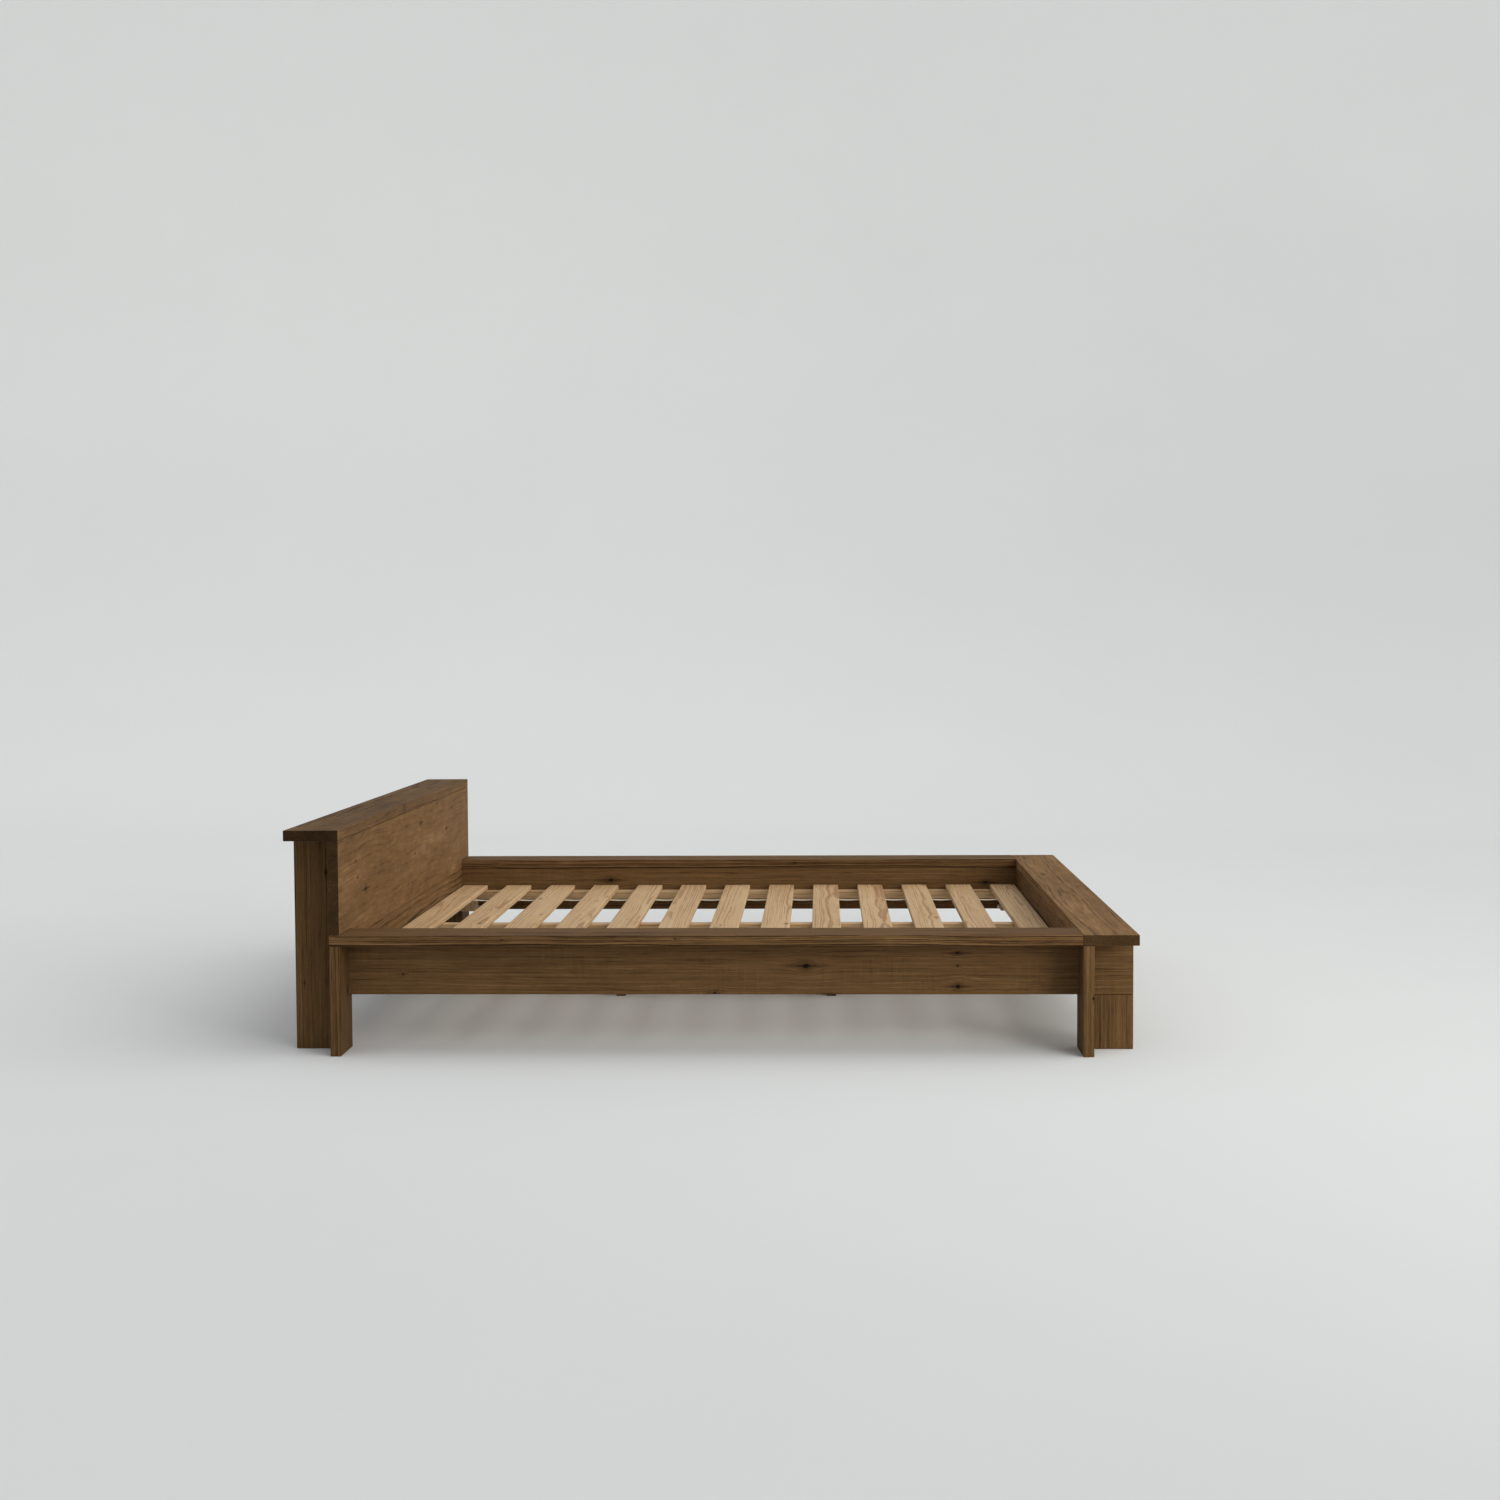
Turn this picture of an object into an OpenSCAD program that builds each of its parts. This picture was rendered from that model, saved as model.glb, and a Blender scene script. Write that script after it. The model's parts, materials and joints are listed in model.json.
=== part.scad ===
// Low platform bed frame: a boxed headboard, wide flat ledges along both sides and the foot, four
// fin legs set square to the rails, and a slat deck that lifts out.
// Millimetres, +Z up. The head is at -X and the foot at +X. Left (+Y) and right (-Y) are a sleeper's.
// The origin is on the floor, under the middle of the frame.

/* [Mattress bay] */
// Clear length from the headboard's face to the foot cap
bay_l = 2000; // [1800:10:2400]
// Clear width between the two side ledges
bay_w = 1800; // [1200:10:2160]

/* [Boards] */
// Thickness of the structural boards
board_t = 30; // [24:1:36]
// Width of the ledges, the headboard cap and the foot cap
plank_w = 150; // [120:5:180]
// Height of the side rails and the cross rails
rail_h = 150; // [120:5:180]
// How far a ledge runs inwards past the rail under it
ledge_lip = 5; // [2:1:10]

/* [Heights] */
// Floor to the underside of the rails
clearance_h = 150; // [100:5:200]
// Floor to the top of the headboard
headboard_h = 615; // [500:5:900]
// Underside of the rails to the underside of the slats
seat_h = 72; // [60:1:90]

/* [Centre support] */
// Distance between the middles of the two centre legs
centre_leg_span = 665; // [500:5:800]
// Width of the centre beam
beam_w = 45; // [36:1:60]
// Wood left under the beam in its hangers
hanger_floor = 16; // [12:1:20]
// Width of a beam hanger
hanger_w = 110; // [100:5:140]
// Height of the stretcher between the centre legs
stretcher_h = 70; // [50:5:90]
// Floor to the underside of the stretcher
stretcher_z = 40; // [20:5:60]
// Length of the stretcher's tenons
tenon_l = 20; // [12:1:22]
// Step between the stretcher's faces and its tenons
tenon_step = 8; // [5:1:10]

/* [Slat deck] */
// Number of slats
slat_count = 13; // [9:1:14]
// Width of a slat
slat_w = 90; // [60:5:110]
// Thickness of a slat
slat_t = 18; // [14:1:22]
// Gap all round the deck, so that it lifts out freely
deck_gap = 5; // [3:1:10]
// Width of the webbing straps
strap_w = 30; // [20:1:40]
// Thickness of the webbing straps
strap_t = 1.2; // [0.8:0.1:2]
// End slats' outer edges to the ends of the straps
strap_end = 10; // [5:1:20]
// Width of the cleats along the side rails
cleat_w = 40; // [30:1:50]
// Height of the cleats along the side rails
cleat_h = 30; // [24:1:40]

/* [Headboard and foot ribs] */
// Sideways distance from the centre rib to each outer rib
rib_pitch = 450; // [350:10:500]

/* [Dowels] */
// Diameter of a dowel
dowel_d = 10; // [8:0.5:12]
// Length of a dowel, half of it in each board
dowel_l = 40; // [30:1:44]
// Space left past each end of a dowel for glue
dowel_end = 1; // [0.5:0.5:2]
// Radial clearance of a dowel in its hole
dowel_fit = 0.05; // [0.02:0.01:0.1]

/* [Corner fittings] */
// Width of a corner block along each rail
block_w = 60; // [54:1:70]
// Thread diameter of a corner bolt
bolt_d = 8; // [6:1:8]
// Diameter of a corner bolt's head
bolt_head_d = 13; // [12:0.5:14]
// Height of a corner bolt's head
bolt_head_h = 8; // [6:0.5:9]
// Width across the flats of the bolt's socket
bolt_socket = 6; // [5:0.5:7]
// Depth of a corner bolt in its insert
bolt_grip = 15; // [12:1:17]
// Corner block's top or underside to the nearest bolt
bolt_edge = 13; // [12:1:14]
// Distance between the two bolts that go into a side rail
bolt_pitch = 22; // [21:1:24]
// Outside diameter of a threaded insert
insert_d = 12; // [11:0.5:13]
// Length of a threaded insert
insert_l = 18; // [17:1:20]
// Diameter of a washer
washer_d = 20; // [18:1:20]
// Thickness of a washer
washer_t = 1.6; // [1:0.1:2]
// Radial clearance of a bolt in its block and washer
bolt_clear = 0.5; // [0.3:0.1:1]
// Radial clearance of a bolt in its insert
thread_fit = 0.05; // [0.02:0.01:0.1]

/* [Wood screws] */
// Shank diameter of a wood screw
screw_d = 4.8; // [4:0.1:6]
// Head diameter of a wood screw
screw_head_d = 9.6; // [8:0.1:11]
// Length of a wood screw, head included
screw_l = 54; // [50:1:55]
// Number of screws in each cleat
cleat_screw_count = 7; // [5:1:9]
// Radial clearance of a screw in its pilot
screw_fit = 0.05; // [0.02:0.01:0.1]

/* [Staples] */
// Width of a staple's crown
staple_w = 12; // [10:1:16]
// Thickness of the staple wire
staple_wire = 1.2; // [0.8:0.1:1.4]
// Depth of a staple's legs in the slat
staple_leg = 8; // [6:1:10]

/* [Hidden] */
$fn = 48;

half_l = bay_l / 2; // bay ends
end_x = half_l + plank_w; // ends of the whole frame
half_w = bay_w / 2; // inner edge of a ledge
edge_y = half_w + plank_w; // outer edge of a ledge
rail_in = half_w + ledge_lip; // inner face of a side rail
rail_out = rail_in + board_t; // outer face of a side rail
rail_mid = rail_in + board_t / 2;
overhang = edge_y - rail_out; // ledge beyond the rail
box_x = half_l + board_t; // far face of the boards that close the bay
skin_x = end_x - board_t; // inner face of the outermost cross boards
ledge_z = clearance_h + rail_h; // underside of the ledges
ledge_top = ledge_z + board_t;
cap_z = headboard_h - board_t; // underside of the headboard cap
seat_z = clearance_h + seat_h; // underside of the slats
deck_z = seat_z + slat_t; // top of the slats
beam_h = seat_h - hanger_floor;
beam_z = seat_z - beam_h;
lap_z = seat_z - beam_h / 2; // where the beam and a centre leg meet in their cross lap
deck_x = half_l - deck_gap; // half length of the deck
slat_y = half_w - deck_gap; // half length of a slat
slat_step = (2 * deck_x - slat_w) / (slat_count - 1);
strap_pitch = bay_w / 3; // centre line to a strap
tiny = 0.01;

sides = [-1, 1];
head = -1;
foot = 1;
left = 1;
right = -1;

function slat_name(i) = str("slat_", i < 10 ? "0" : "", i);
function slat_x(i) = -deck_x + slat_w / 2 + (i - 1) * slat_step;

oak = [0.34, 0.25, 0.16];
pine = [0.80, 0.68, 0.50];
beech = [0.78, 0.62, 0.44];
cotton = [0.88, 0.85, 0.78];
zinc = [0.70, 0.71, 0.72];
brass = [0.78, 0.64, 0.34];

// The range r on one side of the frame, or at one end of it
function mirrored(s, r) = s > 0 ? r : [-r[1], -r[0]];
// The range of a given size about a middle
function around(mid, size) = [mid - size / 2, mid + size / 2];
// Shares of a board's run: n places spread evenly about its middle
function spread(n, reach) = [for (i = [0:n - 1]) reach * (2 * i / (n - 1) - 1)];

// Dowels: each is [middle, axis], and its middle lies on the face where two boards meet.
rail_low = clearance_h + 0.14 * rail_h;
rail_high = clearance_h + 0.86 * rail_h;
cross_heights = [clearance_h + 0.28 * rail_h, clearance_h + 0.72 * rail_h];
fin_heights = [clearance_h + 0.42 * rail_h, clearance_h + 0.58 * rail_h];
leg_heights = [0.25 * clearance_h, 0.75 * clearance_h];
panel_h = cap_z - ledge_top;
panel_heights = [ledge_top + 0.3 * panel_h, ledge_top + 0.7 * panel_h];
box_mid = (box_x + skin_x) / 2;
wall_x = half_l + board_t / 2; // middle of the boards that close the bay
skin_mid = skin_x + board_t / 2;
long_row = spread(7, 0.93 * half_w);
short_row = spread(5, 0.78 * half_w);

headboard_dowels = concat(
    [for (y = long_row, x = [-wall_x, -skin_mid]) [[x, y, cap_z], "z"]],
    [for (s = sides, x = [-box_mid - 30, -box_mid + 30]) [[x, s * rail_mid, cap_z], "z"]],
    [for (s = sides, z = panel_heights) [[-box_x, s * rail_mid, z], "x"]],
    [for (s = sides, z = panel_heights) [[-skin_mid, s * rail_in, z], "y"]],
    [for (y = short_row, x = [-wall_x, -skin_mid]) [[x, y, ledge_z], "z"]],
    [for (k = [-1:1]) [[-box_mid, k * rib_pitch, cap_z], "z"]],
    [for (k = [-1:1], x = [-box_x, -skin_x]) [[x, k * rib_pitch, panel_heights[0]], "x"]]
);
rail_dowels = concat(
    [for (s = sides, z = [rail_low, rail_high]) [[-box_x, s * rail_mid, z], "x"]],
    [for (s = sides, e = sides, z = cross_heights, x = [wall_x, skin_mid])
        [[e * x, s * rail_in, z], "y"]],
    [for (s = sides, x = spread(7, 0.9 * half_l)) [[x, s * rail_mid, ledge_z], "z"]]
);
leg_dowels = concat(
    [for (s = sides, e = sides, z = fin_heights) [[e * wall_x, s * rail_out, z], "y"]],
    [for (s = sides, e = sides, k = [0.22, 0.78])
        [[e * wall_x, s * (rail_out + k * overhang), ledge_z], "z"]],
    [for (s = sides, e = sides, z = leg_heights) [[e * box_x, s * rail_mid, z], "x"]],
    [for (s = sides, x = [box_x + 20, skin_x - 10]) [[x, s * rail_mid, clearance_h], "z"]]
);
ledge_dowels = concat(
    [for (s = sides) [[-wall_x, s * (rail_out + overhang / 2), ledge_top], "z"]],
    [for (s = sides, y = [rail_mid, rail_out + overhang / 2])
        [[half_l, s * y, ledge_z + board_t / 2], "x"]]
);
foot_dowels = concat(
    [for (s = sides) [[box_mid, s * rail_mid, ledge_z], "z"]],
    [for (y = short_row, x = [wall_x, skin_mid]) [[x, y, ledge_z], "z"]],
    [for (s = sides) [[box_mid, s * rib_pitch, ledge_z], "z"]],
    [for (s = sides, x = [box_x, skin_x]) [[x, s * rib_pitch, clearance_h + rail_h / 2], "x"]]
);
dowels = concat(headboard_dowels, rail_dowels, leg_dowels, ledge_dowels, foot_dowels);

// Bolts and screws: each is [where its head seats, the way it points].
bolts = [for (e = sides, s = sides) each [
    [[e * (half_l - block_w / 2), s * (rail_in - block_w), seat_z - bolt_edge], [0, s, 0]],
    [[e * (half_l - block_w / 2), s * (rail_in - block_w), seat_z - bolt_edge - bolt_pitch], [0, s, 0]],
    [[e * (half_l - block_w), s * (rail_in - block_w / 2), clearance_h + bolt_edge], [e, 0, 0]]
]];
cleat_x = half_l - block_w; // half length of a cleat
cleat_screws = [for (s = sides, x = spread(cleat_screw_count, cleat_x - 40))
    [[x, s * (rail_in - cleat_w), seat_z - cleat_h / 2], [0, s, 0]]];
hanger_screws = [for (e = sides, s = sides, z = [clearance_h + 0.2 * seat_h, clearance_h + 0.8 * seat_h])
    [[e * (half_l - board_t), s * (hanger_w + beam_w) / 4, z], [e, 0, 0]]];
screws = concat(cleat_screws, hanger_screws);

// A block of wood between three ranges
module block(x, y, z) translate([x[0], y[0], z[0]]) cube([x[1] - x[0], y[1] - y[0], z[1] - z[0]]);
// Turns children that stand on +Z to point along v
module toward(v) rotate([0, acos(v[2]), atan2(v[1], v[0])]) children();
module along(axis) toward(axis == "x" ? [1, 0, 0] : axis == "y" ? [0, 1, 0] : [0, 0, 1]) children();
function within(p, r) = p >= r[0] - tiny && p <= r[1] + tiny;

module dowel_holes(x, y, z)
    for (d = dowels)
        if (within(d[0][0], x) && within(d[0][1], y) && within(d[0][2], z))
            translate(d[0]) along(d[1])
                cylinder(d = dowel_d + 2 * dowel_fit, h = dowel_l + 2 * dowel_end, center = true);

// A plain board, bored for each dowel whose middle lies on one of its faces
module board(x, y, z) difference() {
    block(x, y, z);
    dowel_holes(x, y, z);
}

module bolt_bores() for (b = bolts) translate(b[0]) toward(b[1]) {
    translate([0, 0, -1]) cylinder(d = bolt_d + 2 * bolt_clear, h = block_w + 1);
    translate([0, 0, block_w]) cylinder(d = insert_d, h = insert_l + 1);
}

module screw_shape(grow) {
    head_h = (screw_head_d - screw_d) / 2;
    cylinder(d1 = screw_head_d + 2 * grow, d2 = screw_d + 2 * grow, h = head_h);
    cylinder(d = screw_d + 2 * grow, h = screw_l + grow);
}

module screw_bores(list) for (s = list) translate(s[0]) toward(s[1]) screw_shape(screw_fit);

module headboard_cap() color(oak)
    board([-end_x, -half_l], [-edge_y, edge_y], [cap_z, headboard_h]);

// The front panel stands on the ledges' ends, and a tongue between them reaches the cross rail.
module headboard_front_panel() color(oak) difference() {
    union() {
        block([-box_x, -half_l], [-edge_y, edge_y], [ledge_top, cap_z]);
        block([-box_x, -half_l], [-half_w, half_w], [ledge_z, ledge_top + 1]);
    }
    dowel_holes([-box_x, -half_l], [-edge_y, edge_y], [ledge_top, cap_z]);
    dowel_holes([-box_x, -half_l], [-half_w, half_w], [ledge_z, ledge_z]);
}

module headboard_back_panel() color(oak)
    board([-end_x, -skin_x], [-rail_in, rail_in], [ledge_z, cap_z]);

module head_back_rail() color(oak)
    board([-end_x, -skin_x], [-rail_in, rail_in], [clearance_h, ledge_z]);

module head_end_board(s) color(oak)
    board([-end_x, -box_x], mirrored(s, [rail_in, rail_out]), [0, cap_z]);

module headboard_rib(k) color(oak)
    board([-skin_x, -box_x], around(k * rib_pitch, board_t), [clearance_h, cap_z]);

// The cross rail that closes one end of the bay and carries the centre beam
module bay_rail(e) color(oak) difference() {
    board(mirrored(e, [half_l, box_x]), [-rail_in, rail_in], [clearance_h, ledge_z]);
    bolt_bores();
    screw_bores(hanger_screws);
}

module side_rail(s) color(oak) difference() {
    board([-box_x, end_x], mirrored(s, [rail_in, rail_out]), [clearance_h, ledge_z]);
    bolt_bores();
    screw_bores(cleat_screws);
}

module side_ledge(s) color(oak)
    board([-box_x, half_l], mirrored(s, [half_w, edge_y]), [ledge_z, ledge_top]);

// A fin leg is notched so that the side rail sits on its shoulder.
module fin_leg(e, s) color(oak) difference() {
    x = mirrored(e, [half_l, box_x]);
    block(x, mirrored(s, [rail_in, edge_y]), [0, ledge_z]);
    block(x + [-1, 1], mirrored(s, [rail_in - 1, rail_out]), [clearance_h, ledge_z + 1]);
    dowel_holes(x, mirrored(s, [rail_in, edge_y]), [0, ledge_z]);
}

module slat_cleat(s) color(pine) difference() {
    block([-cleat_x, cleat_x], mirrored(s, [rail_in - cleat_w, rail_in]), [seat_z - cleat_h, seat_z]);
    screw_bores(cleat_screws);
}

module foot_cap() color(oak)
    board([half_l, end_x], [-edge_y, edge_y], [ledge_z, ledge_top]);

module foot_end_board(s) color(oak)
    board([box_x, end_x], mirrored(s, [rail_in, rail_out]), [0, clearance_h]);

module foot_outer_rail() color(oak)
    board([skin_x, end_x], [-rail_in, rail_in], [clearance_h, ledge_z]);

module foot_rib(s) color(oak)
    board([box_x, skin_x], around(s * rib_pitch, board_t), [clearance_h, ledge_z]);

// The place of a centre leg along X
function leg_x(e) = around(e * centre_leg_span / 2, board_t);

// The beam runs from cross rail to cross rail and laps over the two centre legs.
module centre_beam() color(pine) difference() {
    block([-half_l, half_l], around(0, beam_w), [beam_z, seat_z]);
    for (e = sides) block(leg_x(e), around(0, beam_w + 2), [beam_z - 1, lap_z]);
}

module stretcher_body(reach) {
    x = centre_leg_span / 2 - board_t / 2;
    block([-x, x], around(0, board_t), [stretcher_z, stretcher_z + stretcher_h]);
    block([-x - reach, x + reach], around(0, board_t - 2 * tenon_step),
        [stretcher_z + tenon_step, stretcher_z + stretcher_h - tenon_step]);
}

module centre_leg(e) color(oak) difference() {
    block(leg_x(e), around(0, plank_w), [0, seat_z]);
    block(leg_x(e) + [-1, 1], around(0, beam_w), [lap_z, seat_z + 1]);
    stretcher_body(tenon_l);
}

module centre_stretcher() color(oak) stretcher_body(tenon_l);

// A hanger is a block with a slot that the beam's end drops into.
module beam_hanger(e) color(pine) difference() {
    x = mirrored(e, [half_l - board_t, half_l]);
    block(x, around(0, hanger_w), [clearance_h, seat_z]);
    block(x + [-1, 1], around(0, beam_w), [beam_z, seat_z + 1]);
    screw_bores(hanger_screws);
}

module corner_block(e, s) color(pine) difference() {
    block(mirrored(e, [half_l - block_w, half_l]), mirrored(s, [rail_in - block_w, rail_in]),
        [clearance_h, seat_z]);
    bolt_bores();
}

// A staple: its crown lies under the strap and its legs go up into the slat.
module staple() {
    wire = around(0, staple_wire);
    leg_y = (staple_w - staple_wire) / 2;
    for (k = sides)
        block(wire, around(k * leg_y, staple_wire), [-staple_wire, strap_t + staple_leg]);
    block(wire, around(0, staple_w), [-staple_wire, 0]);
}

// One staple in each slat on each strap
module staples() for (i = [1:slat_count], s = sides)
    translate([slat_x(i), s * strap_pitch, seat_z - strap_t]) staple();

module slat(i) color(pine) difference() {
    block(around(slat_x(i), slat_w), [-slat_y, slat_y], [seat_z, deck_z]);
    staples();
}

module slat_strap(s) color(cotton) difference() {
    block([-deck_x + strap_end, deck_x - strap_end], around(s * strap_pitch, strap_w),
        [seat_z - strap_t, seat_z]);
    staples();
}

module corner_bolts() color(zinc) for (b = bolts) translate(b[0]) toward(b[1]) difference() {
    translate([0, 0, -washer_t]) {
        cylinder(d = bolt_d, h = washer_t + block_w + bolt_grip);
        translate([0, 0, -bolt_head_h]) cylinder(d = bolt_head_d, h = bolt_head_h);
    }
    translate([0, 0, -washer_t - bolt_head_h - 1])
        cylinder(d = bolt_socket / cos(30), h = bolt_head_h / 2 + 1, $fn = 6);
}

module corner_washers() color(zinc) for (b = bolts) translate(b[0]) toward(b[1])
    translate([0, 0, -washer_t]) difference() {
        cylinder(d = washer_d, h = washer_t);
        translate([0, 0, -1]) cylinder(d = bolt_d + 2 * bolt_clear, h = washer_t + 2);
    }

module threaded_inserts() color(brass) for (b = bolts) translate(b[0]) toward(b[1])
    translate([0, 0, block_w]) difference() {
        cylinder(d = insert_d, h = insert_l);
        translate([0, 0, -1]) cylinder(d = bolt_d + 2 * thread_fit, h = insert_l + 2);
    }

module wood_dowels() color(beech) for (d = dowels) translate(d[0]) along(d[1])
    cylinder(d = dowel_d, h = dowel_l, center = true);

module wood_screws() color(zinc) for (s = screws) translate(s[0]) toward(s[1]) screw_shape(0);

module strap_staples() color(zinc) staples();

headboard_cap();
headboard_front_panel();
headboard_back_panel();
head_back_rail();
bay_rail(head);  // head_cross_rail
head_end_board(left);  // head_end_board_left
head_end_board(right);  // head_end_board_right
headboard_rib(1);  // headboard_rib_left
headboard_rib(0);  // headboard_rib_centre
headboard_rib(-1);  // headboard_rib_right
side_rail(left);  // side_rail_left
side_rail(right);  // side_rail_right
side_ledge(left);  // side_ledge_left
side_ledge(right);  // side_ledge_right
fin_leg(head, left);  // fin_leg_head_left
fin_leg(head, right);  // fin_leg_head_right
fin_leg(foot, left);  // fin_leg_foot_left
fin_leg(foot, right);  // fin_leg_foot_right
slat_cleat(left);  // slat_cleat_left
slat_cleat(right);  // slat_cleat_right
foot_cap();
foot_end_board(left);  // foot_end_board_left
foot_end_board(right);  // foot_end_board_right
foot_outer_rail();
bay_rail(foot);  // foot_inner_rail
foot_rib(left);  // foot_rib_left
foot_rib(right);  // foot_rib_right
centre_beam();
centre_leg(head);  // centre_leg_head
centre_leg(foot);  // centre_leg_foot
centre_stretcher();
beam_hanger(head);  // beam_hanger_head
beam_hanger(foot);  // beam_hanger_foot
corner_block(head, left);  // corner_block_head_left
corner_block(head, right);  // corner_block_head_right
corner_block(foot, left);  // corner_block_foot_left
corner_block(foot, right);  // corner_block_foot_right
slat_strap(left);  // slat_strap_left
slat_strap(right);  // slat_strap_right
corner_bolts();
corner_washers();
threaded_inserts();
wood_dowels();
wood_screws();
strap_staples();
for (i = [1:slat_count]) slat(i);
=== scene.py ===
import json
import math
import random

import bmesh
import bpy
from mathutils import Matrix, Vector


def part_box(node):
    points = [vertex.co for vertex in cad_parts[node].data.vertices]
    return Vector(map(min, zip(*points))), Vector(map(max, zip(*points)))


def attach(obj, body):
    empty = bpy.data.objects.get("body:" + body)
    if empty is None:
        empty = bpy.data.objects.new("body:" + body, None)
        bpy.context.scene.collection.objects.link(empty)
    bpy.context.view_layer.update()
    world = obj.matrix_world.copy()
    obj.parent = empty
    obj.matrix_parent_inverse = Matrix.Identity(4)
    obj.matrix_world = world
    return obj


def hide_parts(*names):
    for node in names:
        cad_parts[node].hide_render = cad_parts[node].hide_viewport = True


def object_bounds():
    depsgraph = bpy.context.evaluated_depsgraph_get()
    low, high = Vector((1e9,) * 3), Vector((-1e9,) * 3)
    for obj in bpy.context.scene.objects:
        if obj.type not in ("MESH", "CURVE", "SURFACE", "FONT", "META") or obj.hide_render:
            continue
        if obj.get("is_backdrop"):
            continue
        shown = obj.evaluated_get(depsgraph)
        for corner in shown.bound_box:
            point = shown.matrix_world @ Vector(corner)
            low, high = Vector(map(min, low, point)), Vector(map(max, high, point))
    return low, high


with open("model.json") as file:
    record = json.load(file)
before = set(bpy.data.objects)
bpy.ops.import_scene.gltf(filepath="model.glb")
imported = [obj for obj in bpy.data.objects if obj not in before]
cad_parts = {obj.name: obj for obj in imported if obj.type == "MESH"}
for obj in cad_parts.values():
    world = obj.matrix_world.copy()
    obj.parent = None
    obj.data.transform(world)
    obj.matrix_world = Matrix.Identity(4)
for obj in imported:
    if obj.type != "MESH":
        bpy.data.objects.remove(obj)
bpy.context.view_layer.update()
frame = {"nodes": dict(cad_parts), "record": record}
random.seed(41)
nodes = frame["nodes"]
bodyOf = {name: body for body, names in frame["record"]["behaviour"]["bodies"].items() for name in names}
print("frame loaded:", len(nodes), "pieces")


# shader helpers

def addNode(tree, kind, links=None, **settings):
    node = tree.nodes.new(kind)
    for key, value in settings.items():
        setattr(node, key, value)
    for key, value in (links or {}).items():
        socket = node.inputs[key]
        if isinstance(value, bpy.types.NodeSocket):
            tree.links.new(value, socket)
        else:
            socket.default_value = value
    return node


def sums(tree, operation, a, b=0.0, c=0.0):
    return addNode(tree, "ShaderNodeMath", {0: a, 1: b, 2: c}, operation=operation).outputs[0]


def blend(tree, value, factor, added):  # value times factor, plus what is added
    return sums(tree, "MULTIPLY_ADD", value, factor, added)


def arrows(tree, operation, a, b=(0.0, 0.0, 0.0)):
    node = addNode(tree, "ShaderNodeVectorMath", {0: a, 1: b}, operation=operation)
    return node.outputs["Value"] if operation in ("LENGTH", "DOT_PRODUCT") else node.outputs[0]


def scaled(tree, vector, factor):
    return addNode(tree, "ShaderNodeVectorMath", {0: vector, "Scale": factor}, operation="SCALE").outputs[0]


def between(tree, value, low, high, toLow=0.0, toHigh=1.0):
    node = addNode(tree, "ShaderNodeMapRange", {"Value": value, "From Min": low, "From Max": high,
                                                "To Min": toLow, "To Max": toHigh})
    node.interpolation_type = "SMOOTHSTEP"
    return node.outputs["Result"]


def noise(tree, vector, stretch, detail=2.0, roughness=0.5, output="Fac"):
    placed = arrows(tree, "MULTIPLY", vector, stretch)
    node = addNode(tree, "ShaderNodeTexNoise", {"Vector": placed, "Scale": 1.0, "Detail": detail,
                                                "Roughness": roughness})
    return node.outputs[output]


def wobble(tree, vector, stretch, detail, roughness, reach):
    colour = noise(tree, vector, stretch, detail, roughness, "Color")
    return arrows(tree, "MULTIPLY", arrows(tree, "SUBTRACT", colour, (0.5, 0.5, 0.5)), reach)


def mixColour(tree, share, a, b, mode="MIX"):
    node = addNode(tree, "ShaderNodeMix", {"Factor": share}, data_type="RGBA", blend_type=mode)
    for socket, value in ((node.inputs[6], a), (node.inputs[7], b)):
        if isinstance(value, bpy.types.NodeSocket):
            tree.links.new(value, socket)
        else:
            socket.default_value = value
    return node.outputs[2]


def grey(tree, value):
    return addNode(tree, "ShaderNodeCombineColor", {"Red": value, "Green": value, "Blue": value}).outputs[0]


def startGroup(name, ins, outs):
    tree = bpy.data.node_groups.new(name, "ShaderNodeTree")
    for label, kind, value in ins:
        socket = tree.interface.new_socket(label, in_out="INPUT", socket_type="NodeSocket" + kind)
        if value is not None:
            socket.default_value = value
    for label, kind in outs:
        tree.interface.new_socket(label, in_out="OUTPUT", socket_type="NodeSocket" + kind)
    return tree, tree.nodes.new("NodeGroupInput").outputs, tree.nodes.new("NodeGroupOutput").inputs


def useGroup(tree, group, links):
    return addNode(tree, "ShaderNodeGroup", links, node_tree=group).outputs


def rgb(red, green, blue):
    return (red, green, blue, 1.0)


def newMaterial(name):
    material = bpy.data.materials.new(name)
    material.use_nodes = True
    material.node_tree.nodes.clear()
    return material, material.node_tree


# wood effects, in board space: X along the grain, Y across the width, Z through the thickness, in metres

ringLook = {  # stretches count waves per metre: along the grain, across the width, through the thickness
    "sway": (1.5, 5.0, 5.0), "swayReach": (0.0, 2.0, 2.0),
    "ripple": (7.0, 60.0, 60.0), "rippleReach": (0.0, 0.0035, 0.0035),
    "unevenScale": 0.35, "unevenReach": 2.2, "weakest": 0.2,
    "darkening": (0.35, 0.86), "stepBack": (0.90, 1.0),
    "fade": (5.0, 90.0, 90.0), "fadeSpan": (0.30, 0.62), "fadeLow": 0.35,
    "fineFibre": (14.0, 900.0, 900.0), "fineShare": 0.45,
    "broadFibre": (2.6, 170.0, 170.0), "broadShare": 0.55,
    "pore": (45.0, 1300.0, 1300.0), "poreSpan": (0.58, 0.70), "earlyWood": 0.45, "latePores": 0.2,
    "ray": (150.0, 9.0, 9.0), "patch": (3.0, 9.0, 9.0), "patchSpan": (0.44, 0.66),
    "fleck": (30.0, 260.0, 260.0), "fleckSpan": (0.68, 0.78),
    "drift": (1.5, 9.0, 9.0), "figure": (11.0, 42.0, 42.0)}


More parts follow.
